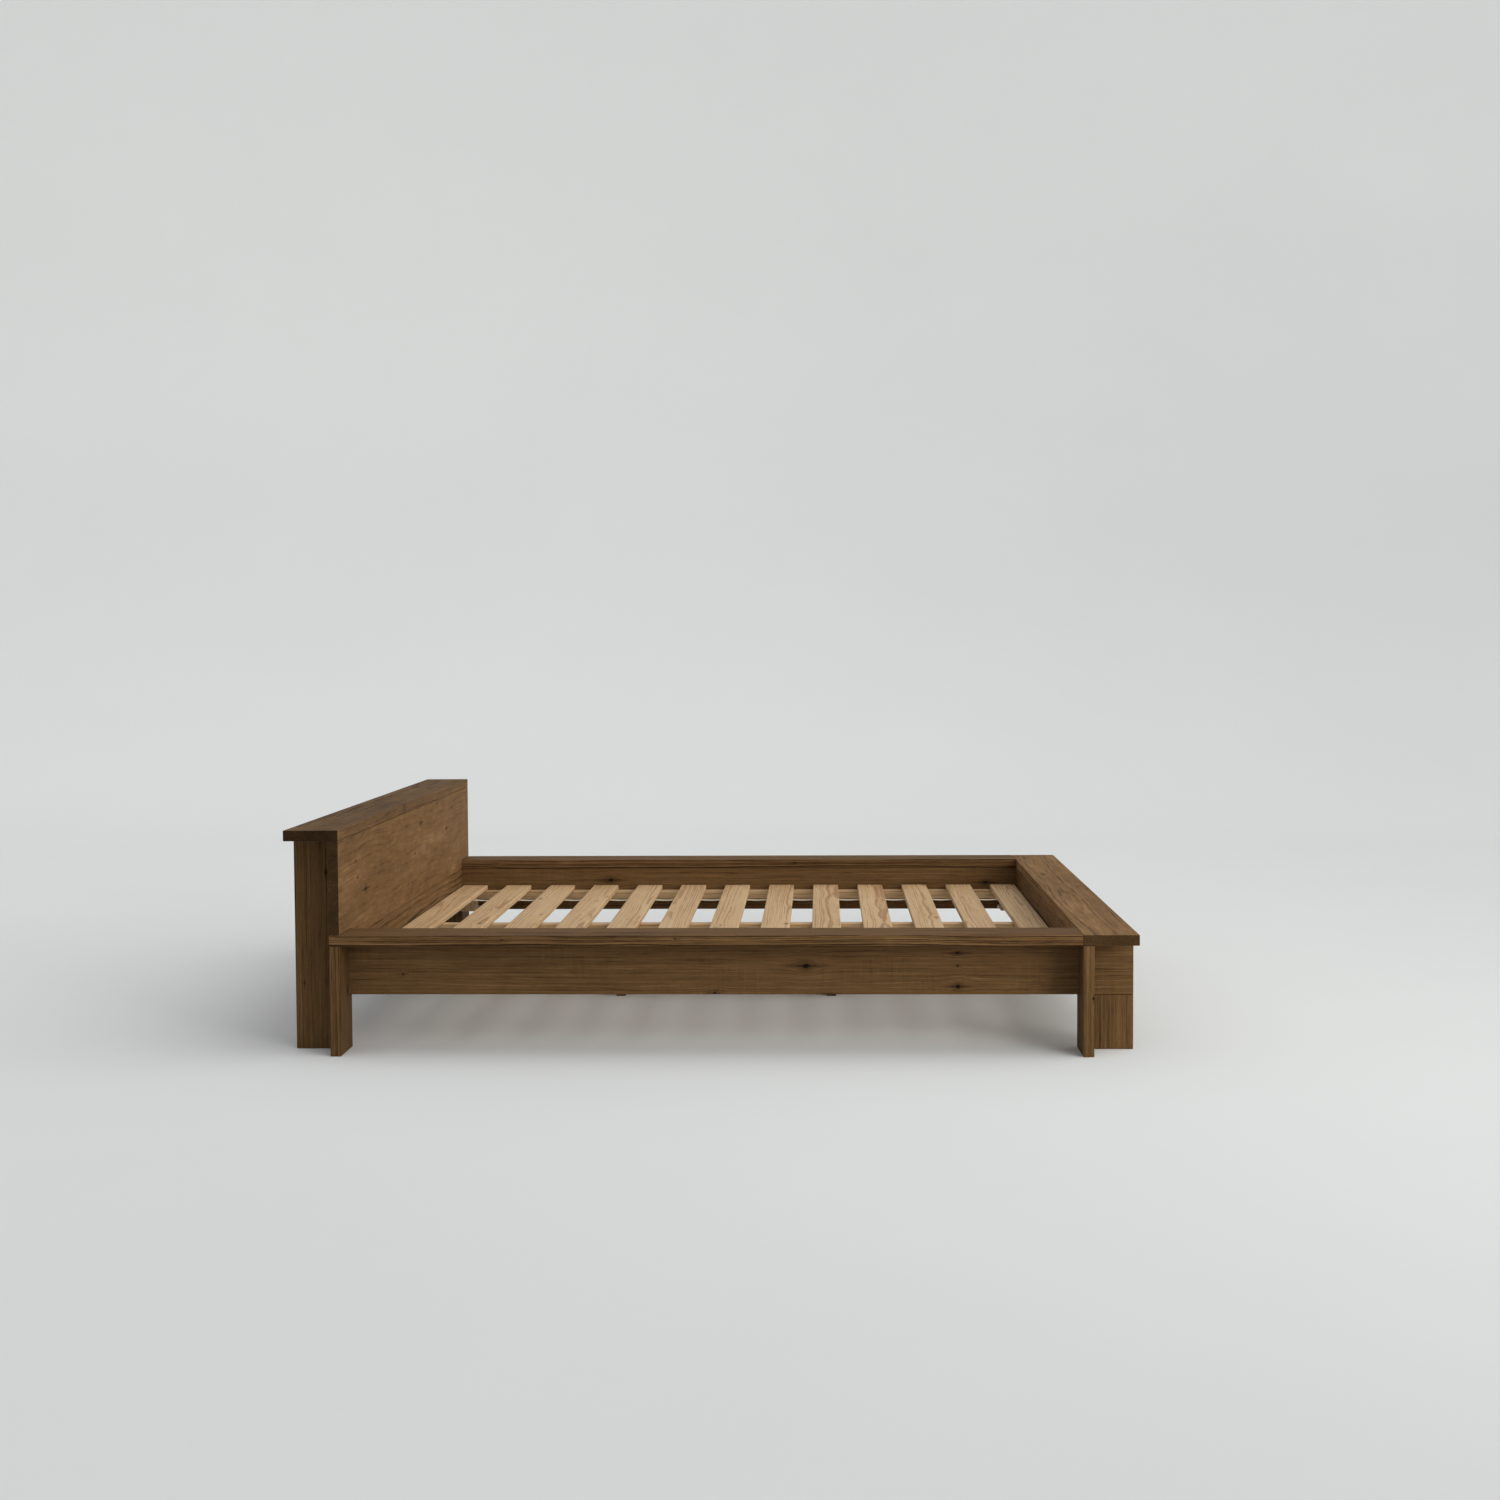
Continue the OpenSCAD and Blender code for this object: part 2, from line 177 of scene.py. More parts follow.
def makeRings():  # rings round a pith line that wanders, with fibres, pores, rays and slow colour drift
    tree, given, out = startGroup(
        "growthRings",
        [("Vector", "Vector", None), ("Gap", "Float", 0.006), ("Bend", "Float", 0.012)],
        [("Ring", "Float"), ("Fibre", "Float"), ("Pore", "Float"), ("Drift", "Float"), ("Ray", "Float"),
         ("Fleck", "Float"), ("Figure", "Float")])
    look = ringLook
    place = given["Vector"]
    sway = scaled(tree, wobble(tree, place, look["sway"], 2.0, 0.5, look["swayReach"]), given["Bend"])
    ripple = wobble(tree, place, look["ripple"], 3.0, 0.6, look["rippleReach"])
    bent = arrows(tree, "ADD", arrows(tree, "ADD", place, sway), ripple)
    radius = arrows(tree, "LENGTH", arrows(tree, "MULTIPLY", bent, (0.0, 1.0, 1.0)))
    count = sums(tree, "DIVIDE", radius, given["Gap"])
    uneven = addNode(tree, "ShaderNodeTexNoise",
                     {"W": sums(tree, "MULTIPLY", count, look["unevenScale"]), "Scale": 1.0, "Detail": 1.0},
                     noise_dimensions="1D").outputs["Fac"]
    count = blend(tree, uneven, look["unevenReach"], count)
    share = sums(tree, "FRACT", count)
    strength = addNode(tree, "ShaderNodeTexWhiteNoise", {"W": sums(tree, "FLOOR", count)},
                       noise_dimensions="1D").outputs["Value"]
    rise = between(tree, share, *look["darkening"])
    line = sums(tree, "MULTIPLY", rise, between(tree, share, *look["stepBack"], 1.0, 0.0))
    line = sums(tree, "MULTIPLY", line, blend(tree, strength, 1.0 - look["weakest"], look["weakest"]))
    fade = noise(tree, bent, look["fade"], 2.0, 0.6)
    faded = between(tree, fade, *look["fadeSpan"], look["fadeLow"], 1.0)
    fine = noise(tree, bent, look["fineFibre"], 2.0, 0.6)
    broad = noise(tree, bent, look["broadFibre"], 3.0, 0.65)
    fibre = blend(tree, fine, look["fineShare"], sums(tree, "MULTIPLY", broad, look["broadShare"]))
    pores = between(tree, noise(tree, bent, look["pore"], 1.0, 0.5), *look["poreSpan"])
    early = between(tree, share, 0.0, look["earlyWood"], 1.0, look["latePores"])
    streak = noise(tree, place, look["ray"], 3.0, 0.6)
    patch = between(tree, noise(tree, place, look["patch"], 2.0, 0.5), *look["patchSpan"])
    fleck = between(tree, noise(tree, bent, look["fleck"], 2.0, 0.55), *look["fleckSpan"])
    ray = sums(tree, "MULTIPLY", sums(tree, "SUBTRACT", streak, 0.5), patch)
    tree.links.new(sums(tree, "MULTIPLY", line, faded), out["Ring"])
    tree.links.new(fibre, out["Fibre"])
    tree.links.new(sums(tree, "MULTIPLY", pores, early), out["Pore"])
    tree.links.new(noise(tree, place, look["drift"], 2.0, 0.55), out["Drift"])
    tree.links.new(ray, out["Ray"])
    tree.links.new(sums(tree, "MULTIPLY", fleck, patch), out["Fleck"])
    tree.links.new(noise(tree, bent, look["figure"], 4.0, 0.65), out["Figure"])
    return tree


knotLook = {  # spans are in knot radii
    "ragged": (170.0, 170.0, 170.0), "raggedReach": (0.013, 0.010, 0.010),
    "pullFall": 0.06, "push": 0.75, "heart": (0.6, 1.1), "halo": (0.9, 3.4), "haloShare": 0.7,
    "tailStretch": (0.16, 1.3), "darkTail": (0.12, 0.5), "darkTailShare": 0.75, "paleTail": (0.3, 1.3)}


def makeKnot():  # bends the grain round a knot that runs through the board, and marks its heart and halo
    tree, given, out = startGroup(
        "pinKnot",
        [("Vector", "Vector", None), ("Middle", "Vector", None), ("Sideways", "Vector", (0.0, 1.0, 0.0)),
         ("Radius", "Float", 0.008), ("Squash", "Float", 0.6),
         ("Heart", "Float", 0.0), ("Halo", "Float", 0.0)],
        [("Vector", "Vector"), ("Heart", "Float"), ("Halo", "Float")])
    look = knotLook
    away = arrows(tree, "SUBTRACT", given["Vector"], given["Middle"])
    frayed = wobble(tree, away, look["ragged"], 5.0, 0.75, look["raggedReach"])
    ragged = arrows(tree, "ADD", away, frayed)
    along = sums(tree, "MULTIPLY", addNode(tree, "ShaderNodeSeparateXYZ", {0: ragged}).outputs["X"],
                 given["Squash"])
    aside = arrows(tree, "DOT_PRODUCT", ragged, given["Sideways"])
    spot = addNode(tree, "ShaderNodeCombineXYZ", {"X": along, "Y": aside}).outputs[0]
    reach = sums(tree, "DIVIDE", arrows(tree, "LENGTH", spot), given["Radius"])
    squared = sums(tree, "MULTIPLY", reach, reach)
    pull = sums(tree, "POWER", 2.718, sums(tree, "MULTIPLY", squared, -look["pullFall"]))
    push = sums(tree, "MULTIPLY", arrows(tree, "DOT_PRODUCT", away, given["Sideways"]), pull)
    moved = scaled(tree, given["Sideways"], sums(tree, "MULTIPLY", push, -look["push"]))
    heart = between(tree, reach, *look["heart"], 1.0, 0.0)
    tail = addNode(tree, "ShaderNodeCombineXYZ", {
        "X": sums(tree, "MULTIPLY", along, look["tailStretch"][0]),
        "Y": sums(tree, "MULTIPLY", aside, look["tailStretch"][1])}).outputs[0]
    tail = sums(tree, "DIVIDE", arrows(tree, "LENGTH", tail), given["Radius"])
    darkTail = between(tree, tail, *look["darkTail"], look["darkTailShare"], 0.0)
    heart = sums(tree, "MAXIMUM", heart, darkTail)
    halo = sums(tree, "MULTIPLY", between(tree, reach, *look["halo"], 1.0, 0.0), look["haloShare"])
    halo = sums(tree, "MAXIMUM", halo, between(tree, tail, *look["paleTail"], 1.0, 0.0))
    tree.links.new(arrows(tree, "ADD", given["Vector"], moved), out["Vector"])
    tree.links.new(sums(tree, "MAXIMUM", heart, given["Heart"]), out["Heart"])
    tree.links.new(sums(tree, "MAXIMUM", halo, given["Halo"]), out["Halo"])
    return tree


wearLook = {"sharp": (0.995, 0.86), "patch": (9.0, 30.0, 30.0), "patchSpan": (0.38, 0.62)}


def makeEdgeWear():  # a ragged mask along the arrises, where hands and dusters rub
    tree, given, out = startGroup(
        "edgeWear", [("Vector", "Vector", None), ("Reach", "Float", 0.0035)], [("Worn", "Float")])
    rounded = addNode(tree, "ShaderNodeBevel", {"Radius": given["Reach"]}, samples=4).outputs[0]
    normal = addNode(tree, "ShaderNodeNewGeometry").outputs["Normal"]
    edge = between(tree, arrows(tree, "DOT_PRODUCT", rounded, normal), *wearLook["sharp"])
    patch = noise(tree, given["Vector"], wearLook["patch"], 3.0, 0.7)
    tree.links.new(sums(tree, "MULTIPLY", edge, between(tree, patch, *wearLook["patchSpan"])), out["Worn"])
    return tree


facingSpan = (0.6, 0.85)


def makeFacing():  # marks the faces cut across the grain, and the two wide faces
    tree, given, out = startGroup(
        "grainFacing", [("Grain", "Vector", (1.0, 0.0, 0.0)), ("Thick", "Vector", (0.0, 0.0, 1.0))],
        [("End", "Float"), ("Wide", "Float")])
    normal = addNode(tree, "ShaderNodeNewGeometry").outputs["Normal"]
    for axis, label in (("Grain", "End"), ("Thick", "Wide")):
        facing = sums(tree, "ABSOLUTE", arrows(tree, "DOT_PRODUCT", normal, given[axis]))
        tree.links.new(between(tree, facing, *facingSpan), out[label])
    return tree


growthRings = makeRings()
pinKnot = makeKnot()
edgeWear = makeEdgeWear()
grainFacing = makeFacing()

stainedOak = {
    "slot": "stained_oak",
    "deep": rgb(0.030, 0.0140, 0.0045),
    "middle": rgb(0.150, 0.0800, 0.0305),
    "bright": rgb(0.250, 0.1400, 0.0620),
    "pore": rgb(0.018, 0.0095, 0.0040),
    "knot": rgb(0.010, 0.0055, 0.0030),
    "worn": rgb(0.20, 0.125, 0.064),
    "roughness": 0.70,
    "shine": 0.06,
    "endShade": 0.60,
    "bump": 0.35,
}
bareSoftwood = {
    "slot": "pine",
    "deep": rgb(0.36, 0.190, 0.080),
    "middle": rgb(0.56, 0.370, 0.190),
    "bright": rgb(0.65, 0.460, 0.265),
    "pore": rgb(0.47, 0.290, 0.140),
    "knot": rgb(0.12, 0.050, 0.020),
    "worn": rgb(0.70, 0.540, 0.350),
    "roughness": 0.66,
    "shine": 0.30,
    "endShade": 0.82,
    "bump": 0.25,
}
# what a board has unless its own values say otherwise; a knot is place along, place aside, radius, squash
plainLook = {
    "ease": 0.0014, "gap": 0.0075, "bend": 0.012, "lines": 0.6, "wideLines": 1.0, "pith": (0.02, 0.08),
    "fibre": 2.0, "ray": 0.0, "drift": 0.7, "figure": 0.5, "fleck": 0.3,
    "shade": 1.0, "endShade": 1.0, "knots": (), "edgeKnots": ()}
boardFinish = {  # how far boards are cut apart along the grain, and how it is mixed into colour and height
    "apart": 30.0, "endLines": 0.5, "lineTone": 1.2, "deepSpan": (-0.15, 0.5), "brightSpan": (0.45, 0.95),
    "poreShare": 0.55, "haloShare": 0.7, "wornShare": 0.4,
    "fibreRoughness": 0.2, "endRoughness": 0.12,
    "poreHeight": -1.0, "fibreHeight": 0.5, "lineHeight": 0.35, "knotHeight": -0.8, "reliefDepth": 0.0006}


def boardTurn(low, high):  # rows: along the grain, across the width, through the thickness
    size = high - low
    wide, grain = sorted(range(3), key=lambda k: size[k])[1:]
    along = Vector([float(k == grain) for k in range(3)])
    across = Vector([float(k == wide) for k in range(3)])
    return Matrix((along, across, along.cross(across)))


def boardMaterial(name, wood, look, low, high):
    material, tree = newMaterial(name)
    finish = boardFinish
    turn = boardTurn(low, high)
    middle = (low + high) / 2
    place = addNode(tree, "ShaderNodeMapping", {
        "Vector": addNode(tree, "ShaderNodeTexCoord").outputs["Object"],
        "Location": -(turn @ middle), "Rotation": turn.to_euler()}).outputs[0]
    heart = halo = 0.0
    marks = [(mark, (0.0, 1.0, 0.0)) for mark in look["knots"]]
    marks += [(mark, (0.0, 0.0, 1.0)) for mark in look["edgeKnots"]]
    for (along, offset, radius, squash), sideways in marks:
        spot = Vector((along, 0.0, 0.0)) + Vector(sideways) * offset
        bent = useGroup(tree, pinKnot, {"Vector": place, "Middle": spot, "Sideways": sideways,
                                        "Radius": radius, "Squash": squash, "Heart": heart, "Halo": halo})
        place, heart, halo = bent["Vector"], bent["Heart"], bent["Halo"]
    across, depth = look["pith"]
    shifted = arrows(tree, "ADD", place, (random.uniform(-finish["apart"], finish["apart"]), across, depth))
    rings = useGroup(tree, growthRings, {"Vector": shifted, "Gap": look["gap"], "Bend": look["bend"]})
    facing = useGroup(tree, grainFacing, {"Grain": turn[0], "Thick": turn[2]})
    end = facing["End"]
    share = blend(tree, end, -finish["endLines"] * look["lines"], look["lines"])
    share = blend(tree, facing["Wide"], look["lines"] * (look["wideLines"] - 1.0), share)
    lines = sums(tree, "MULTIPLY", rings["Ring"], share)
    tone = blend(tree, rings["Fibre"], look["fibre"], 0.5 - 0.5 * look["fibre"])
    for key in ("drift", "figure"):
        tone = sums(tree, "SUBTRACT", tone, 0.5 * look[key])
        tone = blend(tree, rings[key.capitalize()], look[key], tone)
    tone = blend(tree, rings["Ray"], look["ray"], tone)
    tone = blend(tree, lines, -finish["lineTone"], tone)
    tone = blend(tree, rings["Fleck"], -look["fleck"], tone)
    colour = mixColour(tree, between(tree, tone, *finish["deepSpan"]), wood["deep"], wood["middle"])
    colour = mixColour(tree, between(tree, tone, *finish["brightSpan"]), colour, wood["bright"])
    pores = sums(tree, "MULTIPLY", rings["Pore"], finish["poreShare"])
    colour = mixColour(tree, pores, colour, wood["pore"])
    if marks:
        colour = mixColour(tree, sums(tree, "MULTIPLY", halo, finish["haloShare"]), colour, wood["deep"])
        colour = mixColour(tree, heart, colour, wood["knot"])
    worn = useGroup(tree, edgeWear, {"Vector": shifted})["Worn"]
    colour = mixColour(tree, sums(tree, "MULTIPLY", worn, finish["wornShare"]), colour, wood["worn"])
    # board tone and end-grain darkening; on the head panel and the foot cap the tone is painted light that
    # brightens a lit board, and the deeper end darkening of the head panel, head cap and foot cap is
    # painted shade on end faces in shade, on top of the real darker end grain
    endGrainAndPaintedShadeDrop = look["shade"] * (wood["endShade"] * look["endShade"] - 1.0)
    toneAndPaintedLight = blend(tree, end, endGrainAndPaintedShadeDrop, look["shade"])
    colour = mixColour(tree, 1.0, colour, grey(tree, toneAndPaintedLight), "MULTIPLY")
    level = wood["roughness"] - finish["fibreRoughness"] / 2
    roughness = blend(tree, rings["Fibre"], finish["fibreRoughness"], level)
    roughness = blend(tree, end, finish["endRoughness"], roughness)
    height = sums(tree, "MULTIPLY", rings["Fibre"], finish["fibreHeight"])
    height = blend(tree, rings["Pore"], finish["poreHeight"], height)
    height = blend(tree, lines, finish["lineHeight"], height)
    if marks:
        height = blend(tree, heart, finish["knotHeight"], height)
    bump = addNode(tree, "ShaderNodeBump", {"Height": height, "Strength": wood["bump"],
                                            "Distance": finish["reliefDepth"]}).outputs[0]
    shader = addNode(tree, "ShaderNodeBsdfPrincipled", {
        "Base Color": colour, "Roughness": roughness, "Normal": bump, "Specular IOR Level": wood["shine"]})
    addNode(tree, "ShaderNodeOutputMaterial", {"Surface": shader.outputs[0]})
    return material


# modelling helpers

seam = 0.0005  # half the gap drawn between two boards


def finishPiece(name, mesh, material, slot, *replaced):
    bmesh.ops.recalc_face_normals(mesh, faces=mesh.faces)
    data = bpy.data.meshes.new(name)
    mesh.to_mesh(data)
    mesh.free()
    piece = bpy.data.objects.new(name, data)
    bpy.context.scene.collection.objects.link(piece)
    data.materials.append(material)
    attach(piece, bodyOf[replaced[0]])
    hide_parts(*replaced)
    return piece


def blockMesh(low, high):
    mesh = bmesh.new()
    bmesh.ops.create_cube(mesh, size=1.0)
    bmesh.ops.scale(mesh, verts=mesh.verts, vec=high - low)
    bmesh.ops.translate(mesh, verts=mesh.verts, vec=(low + high) / 2)
    return mesh


def plateMesh(outline, low, high, lengthwise=False):  # corners (y, z) go along X, or (x, z) along Y
    mesh = bmesh.new()
    corners = [(flat, low.y, z) if lengthwise else (low.x, flat, z) for flat, z in outline]
    shift = (0, high.y - low.y, 0) if lengthwise else (high.x - low.x, 0, 0)
    face = mesh.faces.new([mesh.verts.new(place) for place in corners])
    grown = bmesh.ops.extrude_face_region(mesh, geom=[face])["geom"]
    moved = [item for item in grown if isinstance(item, bmesh.types.BMVert)]
    bmesh.ops.translate(mesh, verts=moved, vec=shift)
    bmesh.ops.recalc_face_normals(mesh, faces=mesh.faces)
    return mesh


def easeEdges(mesh, width):  # draws every face in by half the gap, then rounds the arrises
    mesh.normal_update()
    places = {corner: corner.co - seam * sum((face.normal for face in corner.link_faces), Vector())
              for corner in mesh.verts}
    for corner, place in places.items():
        corner.co = place
    bmesh.ops.bevel(mesh, geom=list(mesh.edges), offset=width, offset_type="OFFSET", affect="EDGES",
                    segments=2, profile=0.5, material=-1, clamp_overlap=True)
    return mesh


def addBoard(name, wood, values, mesh=None, **changes):
    look = {**plainLook, **values, **changes}
    low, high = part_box(name)
    mesh = easeEdges(mesh or blockMesh(low, high), look["ease"])
    material = boardMaterial("wood_" + name, wood, look, low, high)
    finishPiece("piece_" + name, mesh, material, wood["slot"], name)


beamLow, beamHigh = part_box("centre_beam")
railLow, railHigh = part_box("side_rail_left")
ledgeLow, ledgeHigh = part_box("side_ledge_left")


# long sides

sideRail = {"gap": 0.0085, "bend": 0.009, "lines": 0.30, "pith": (0.21, 0.03), "ray": 0.5, "figure": 0.35,
            "fleck": 0.15, "drift": 0.15, "shade": 0.87}
railMarks = {
    "side_rail_right": (
        (0.198, 0.004, 0.0072, 0.62), (0.612, 0.004, 0.0022, 0.9), (0.612, 0.039, 0.0034, 0.4),
        (0.613, -0.053, 0.0062, 0.8), (-0.052, -0.071, 0.0040, 0.8), (-0.911, -0.018, 0.0024, 0.8),
        (0.261, -0.0745, 0.0022, 0.12)),
    "side_rail_left": (
        (-0.52, 0.031, 0.0058, 0.5), (0.10, -0.044, 0.0040, 0.6), (0.83, 0.02, 0.0050, 0.5)),
}
sideLedge = {"gap": 0.0058, "bend": 0.010, "lines": 1.2, "wideLines": 0.28, "pith": (0.03, 0.085),
             "figure": 0.45, "fleck": 0.2, "drift": 0.45, "shade": 0.90}
ledgeMarks = {
    "side_ledge_right": ((-0.077, 0.004, 0.0016, 0.6), (-0.546, 0.002, 0.0010, 0.6)),
    "side_ledge_left": ((0.22, 0.002, 0.0015, 0.6),),
}
for name, marks in railMarks.items():
    addBoard(name, stainedOak, sideRail, knots=marks)
for name, marks in ledgeMarks.items():
    addBoard(name, stainedOak, sideLedge, edgeKnots=marks)
print("sides made")


# fin legs, notched over the rails

finLeg = {"gap": 0.0062, "bend": 0.008, "lines": 0.4, "pith": (0.10, 0.06), "figure": 0.4, "shade": 0.83}
finMarks = {
    "fin_leg_head_right": {"knots": ((0.018, 0.021, 0.0042, 0.5),)},
    "fin_leg_head_left": {"knots": ((-0.09, -0.03, 0.0040, 0.6),)},
    "fin_leg_foot_right": {"edgeKnots": ((0.008, -0.012, 0.0024, 0.9),)},
    "fin_leg_foot_left": {"knots": ((0.05, 0.03, 0.0036, 0.6),)},
}
for name, marks in finMarks.items():
    low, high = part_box(name)
    side = 1 if high.y > 0 else -1
    outline = [(side * y, z) for y, z in (
        (ledgeHigh.y, 0), (ledgeHigh.y, high.z), (railHigh.y, high.z), (railHigh.y, railLow.z),
        (railLow.y, railLow.z), (railLow.y, 0))]
    addBoard(name, stainedOak, finLeg, plateMesh(outline, low, high), **marks)
print("fin legs made")


# headboard box

endBoard = {"gap": 0.0070, "bend": 0.010, "lines": 0.3, "pith": (0.14, 0.05), "figure": 0.4,
            "shade": 0.80, "knots": ((0.196, 0.030, 0.0030, 0.7), (-0.11, -0.035, 0.0018, 0.6))}
# the head panel's tone of 1.19 is painted light standing for the strong light on its lit face; its end
# darkening of 0.39 is partly real end grain and partly painted shade
headPanel = {
    "gap": 0.0110, "bend": 0.030, "lines": 0.18, "pith": (0.03, 0.09), "figure": 0.9, "fleck": 0.5,
    "fibre": 1.5, "shade": 1.19, "endShade": 0.39,
    "knots": ((0.133, 0.090, 0.0052, 0.6), (-0.708, -0.025, 0.0056, 0.5), (-0.809, 0.018, 0.0026, 0.6),
              (-0.831, 0.066, 0.0022, 0.5), (0.025, 0.0, 0.0030, 0.6), (0.60, 0.03, 0.0045, 0.6))}
# the head cap's end darkening of 0.36 is partly real end grain and partly painted shade on its end face
headCap = {"gap": 0.0075, "bend": 0.012, "lines": 0.5, "pith": (0.06, 0.07), "figure": 0.6, "shade": 0.92,
           "endShade": 0.36, "knots": ((-0.137, 0.071, 0.0026, 0.2), (-0.10, 0.05, 0.0022, 0.35),
                                      (0.62, -0.03, 0.0045, 0.5))}
headBack = {"gap": 0.0090, "bend": 0.022, "lines": 0.4, "pith": (0.03, 0.08), "figure": 0.6,
            "knots": ((-0.41, 0.05, 0.0060, 0.5), (0.33, -0.06, 0.0045, 0.6))}
hiddenBoard = {"gap": 0.0080, "lines": 0.5}
for name in ("head_end_board_left", "head_end_board_right"):
    addBoard(name, stainedOak, endBoard)
low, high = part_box("headboard_front_panel")
tongue = [(low.y, ledgeHigh.z), (low.y, high.z), (high.y, high.z), (high.y, ledgeHigh.z),
          (ledgeLow.y, ledgeHigh.z), (ledgeLow.y, low.z), (-ledgeLow.y, low.z), (-ledgeLow.y, ledgeHigh.z)]
addBoard("headboard_front_panel", stainedOak, headPanel, plateMesh(tongue, low, high))
addBoard("headboard_cap", stainedOak, headCap)
addBoard("headboard_back_panel", stainedOak, headBack)
addBoard("head_back_rail", stainedOak, headBack, knots=((0.55, 0.02, 0.0050, 0.5),))
for name in ("head_cross_rail", "headboard_rib_left", "headboard_rib_centre", "headboard_rib_right"):
    addBoard(name, stainedOak, hiddenBoard)
print("headboard made")


# foot box

# the foot cap's tone of 1.42 is painted light, standing for light from above and sheen on its top seen at a
# low angle; its end darkening of 0.44 is partly real end grain and partly painted shade
footCap = {"gap": 0.0090, "bend": 0.020, "lines": 0.35, "pith": (0.02, 0.055), "figure": 0.6, "shade": 1.42,
           "endShade": 0.44, "knots": ((0.41, -0.03, 0.0050, 0.5),)}
footBlock = {"gap": 0.0080, "bend": 0.006, "lines": 0.36, "pith": (0.30, 0.03), "figure": 0.3,
             "shade": 0.87}
footRail = {"gap": 0.0090, "bend": 0.012, "lines": 0.4, "pith": (0.12, 0.04), "ray": 0.3,
            "knots": ((-0.35, 0.02, 0.0055, 0.5), (0.52, -0.04, 0.0040, 0.6))}
addBoard("foot_cap", stainedOak, footCap)
for name in ("foot_end_board_left", "foot_end_board_right"):
    addBoard(name, stainedOak, footBlock)
addBoard("foot_outer_rail", stainedOak, footRail)
for name in ("foot_inner_rail", "foot_rib_left", "foot_rib_right"):
    addBoard(name, stainedOak, hiddenBoard)
print("foot made")


# centre support

centreLeg = {"gap": 0.0070, "lines": 0.5, "pith": (0.05, 0.07)}
support = {"ease": 0.0015, "gap": 0.0050, "bend": 0.012, "lines": 0.7, "figure": 0.3, "fleck": 0.0}
lap = (beamLow.z + beamHigh.z) / 2
for name in ("centre_leg_head", "centre_leg_foot"):
    low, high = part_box(name)
    slotted = [(low.y, 0), (low.y, high.z), (beamLow.y, high.z), (beamLow.y, lap), (beamHigh.y, lap),
               (beamHigh.y, high.z), (high.y, high.z), (high.y, 0)]
    addBoard(name, stainedOak, centreLeg, plateMesh(slotted, low, high))
addBoard("centre_stretcher", stainedOak, centreLeg)
for name in ("beam_hanger_head", "beam_hanger_foot"):
    low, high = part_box(name)
    forked = [(low.y, low.z), (low.y, high.z), (beamLow.y, high.z), (beamLow.y, beamLow.z),
              (beamHigh.y, beamLow.z), (beamHigh.y, high.z), (high.y, high.z), (high.y, low.z)]
    addBoard(name, bareSoftwood, support, plateMesh(forked, low, high))
notched = [(beamLow.x, beamLow.z)]
for name in ("centre_leg_head", "centre_leg_foot"):
    low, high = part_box(name)
    notched += [(low.x, beamLow.z), (low.x, lap), (high.x, lap), (high.x, beamLow.z)]
notched += [(beamHigh.x, beamLow.z), (beamHigh.x, beamHigh.z), (beamLow.x, beamHigh.z)]
addBoard("centre_beam", bareSoftwood, support, plateMesh(notched, beamLow, beamHigh, lengthwise=True),
         knots=((-0.62, 0.010, 0.0045, 0.6), (0.21, -0.012, 0.0035, 0.6)))
print("centre support made")


# softwood: slats, cleats and corner blocks

slat = {"ease": 0.003, "gap": 0.0055, "bend": 0.012, "lines": 0.75, "figure": 0.3, "fleck": 0.0}
slatKnots = {"counts": (0, 1, 1, 2), "along": 0.85, "aside": 0.035, "radius": (0.003, 0.007), "squash": 0.7}
softPith = {"across": (-0.05, 0.05), "depth": (0.025, 0.08)}
blocks = ["corner_block_" + corner for corner in ("foot_left", "foot_right", "head_left", "head_right")]
cleats = ["slat_cleat_left", "slat_cleat_right"]
slats = sorted(name for name in nodes if name.startswith("slat_") and name[-2:].isdigit())


def randomPith():
    across = random.uniform(*softPith["across"])
    return across, random.choice((-1, 1)) * random.uniform(*softPith["depth"])


for name in blocks + cleats:
    addBoard(name, bareSoftwood, support, pith=randomPith())
for name in slats:
    knots = [(random.uniform(-slatKnots["along"], slatKnots["along"]),
              random.uniform(-slatKnots["aside"], slatKnots["aside"]),
              random.uniform(*slatKnots["radius"]), slatKnots["squash"])
             for spare in range(random.choice(slatKnots["counts"]))]
    addBoard(name, bareSoftwood, slat, pith=randomPith(), knots=knots)
print("softwood made:", len(blocks + cleats + slats))


# fittings

metalLook = {"cloud": 400.0, "cloudSpan": (0.35, 0.7), "dulled": 0.75, "uneven": 0.25, "level": 0.12,
             "relief": 0.15, "reliefDepth": 0.0003}
weave = {"threads": 160.0, "unruly": 0.4, "fluff": 600.0, "fluffShare": 0.3,
         "gap": rgb(0.50, 0.42, 0.30), "thread": rgb(0.78, 0.69, 0.52),
         "fluffColour": rgb(0.62, 0.54, 0.40), "roughness": 0.9, "relief": 0.6, "reliefDepth": 0.0006}


def metalMaterial(name, colour, roughness):
    material, tree = newMaterial(name)
    look = metalLook
    place = addNode(tree, "ShaderNodeTexCoord").outputs["Object"]
    cloudy = noise(tree, place, (look["cloud"],) * 3, 3.0, 0.6)
    dull = rgb(*(look["dulled"] * part for part in colour[:3]))
    tint = mixColour(tree, between(tree, cloudy, *look["cloudSpan"]), colour, dull)
    rough = blend(tree, cloudy, look["uneven"], roughness - look["level"])
    bump = addNode(tree, "ShaderNodeBump", {"Height": cloudy, "Strength": look["relief"],
                                            "Distance": look["reliefDepth"]}).outputs[0]
    shader = addNode(tree, "ShaderNodeBsdfPrincipled", {
        "Base Color": tint, "Roughness": rough, "Metallic": 1.0, "Normal": bump})
    addNode(tree, "ShaderNodeOutputMaterial", {"Surface": shader.outputs[0]})
    return material


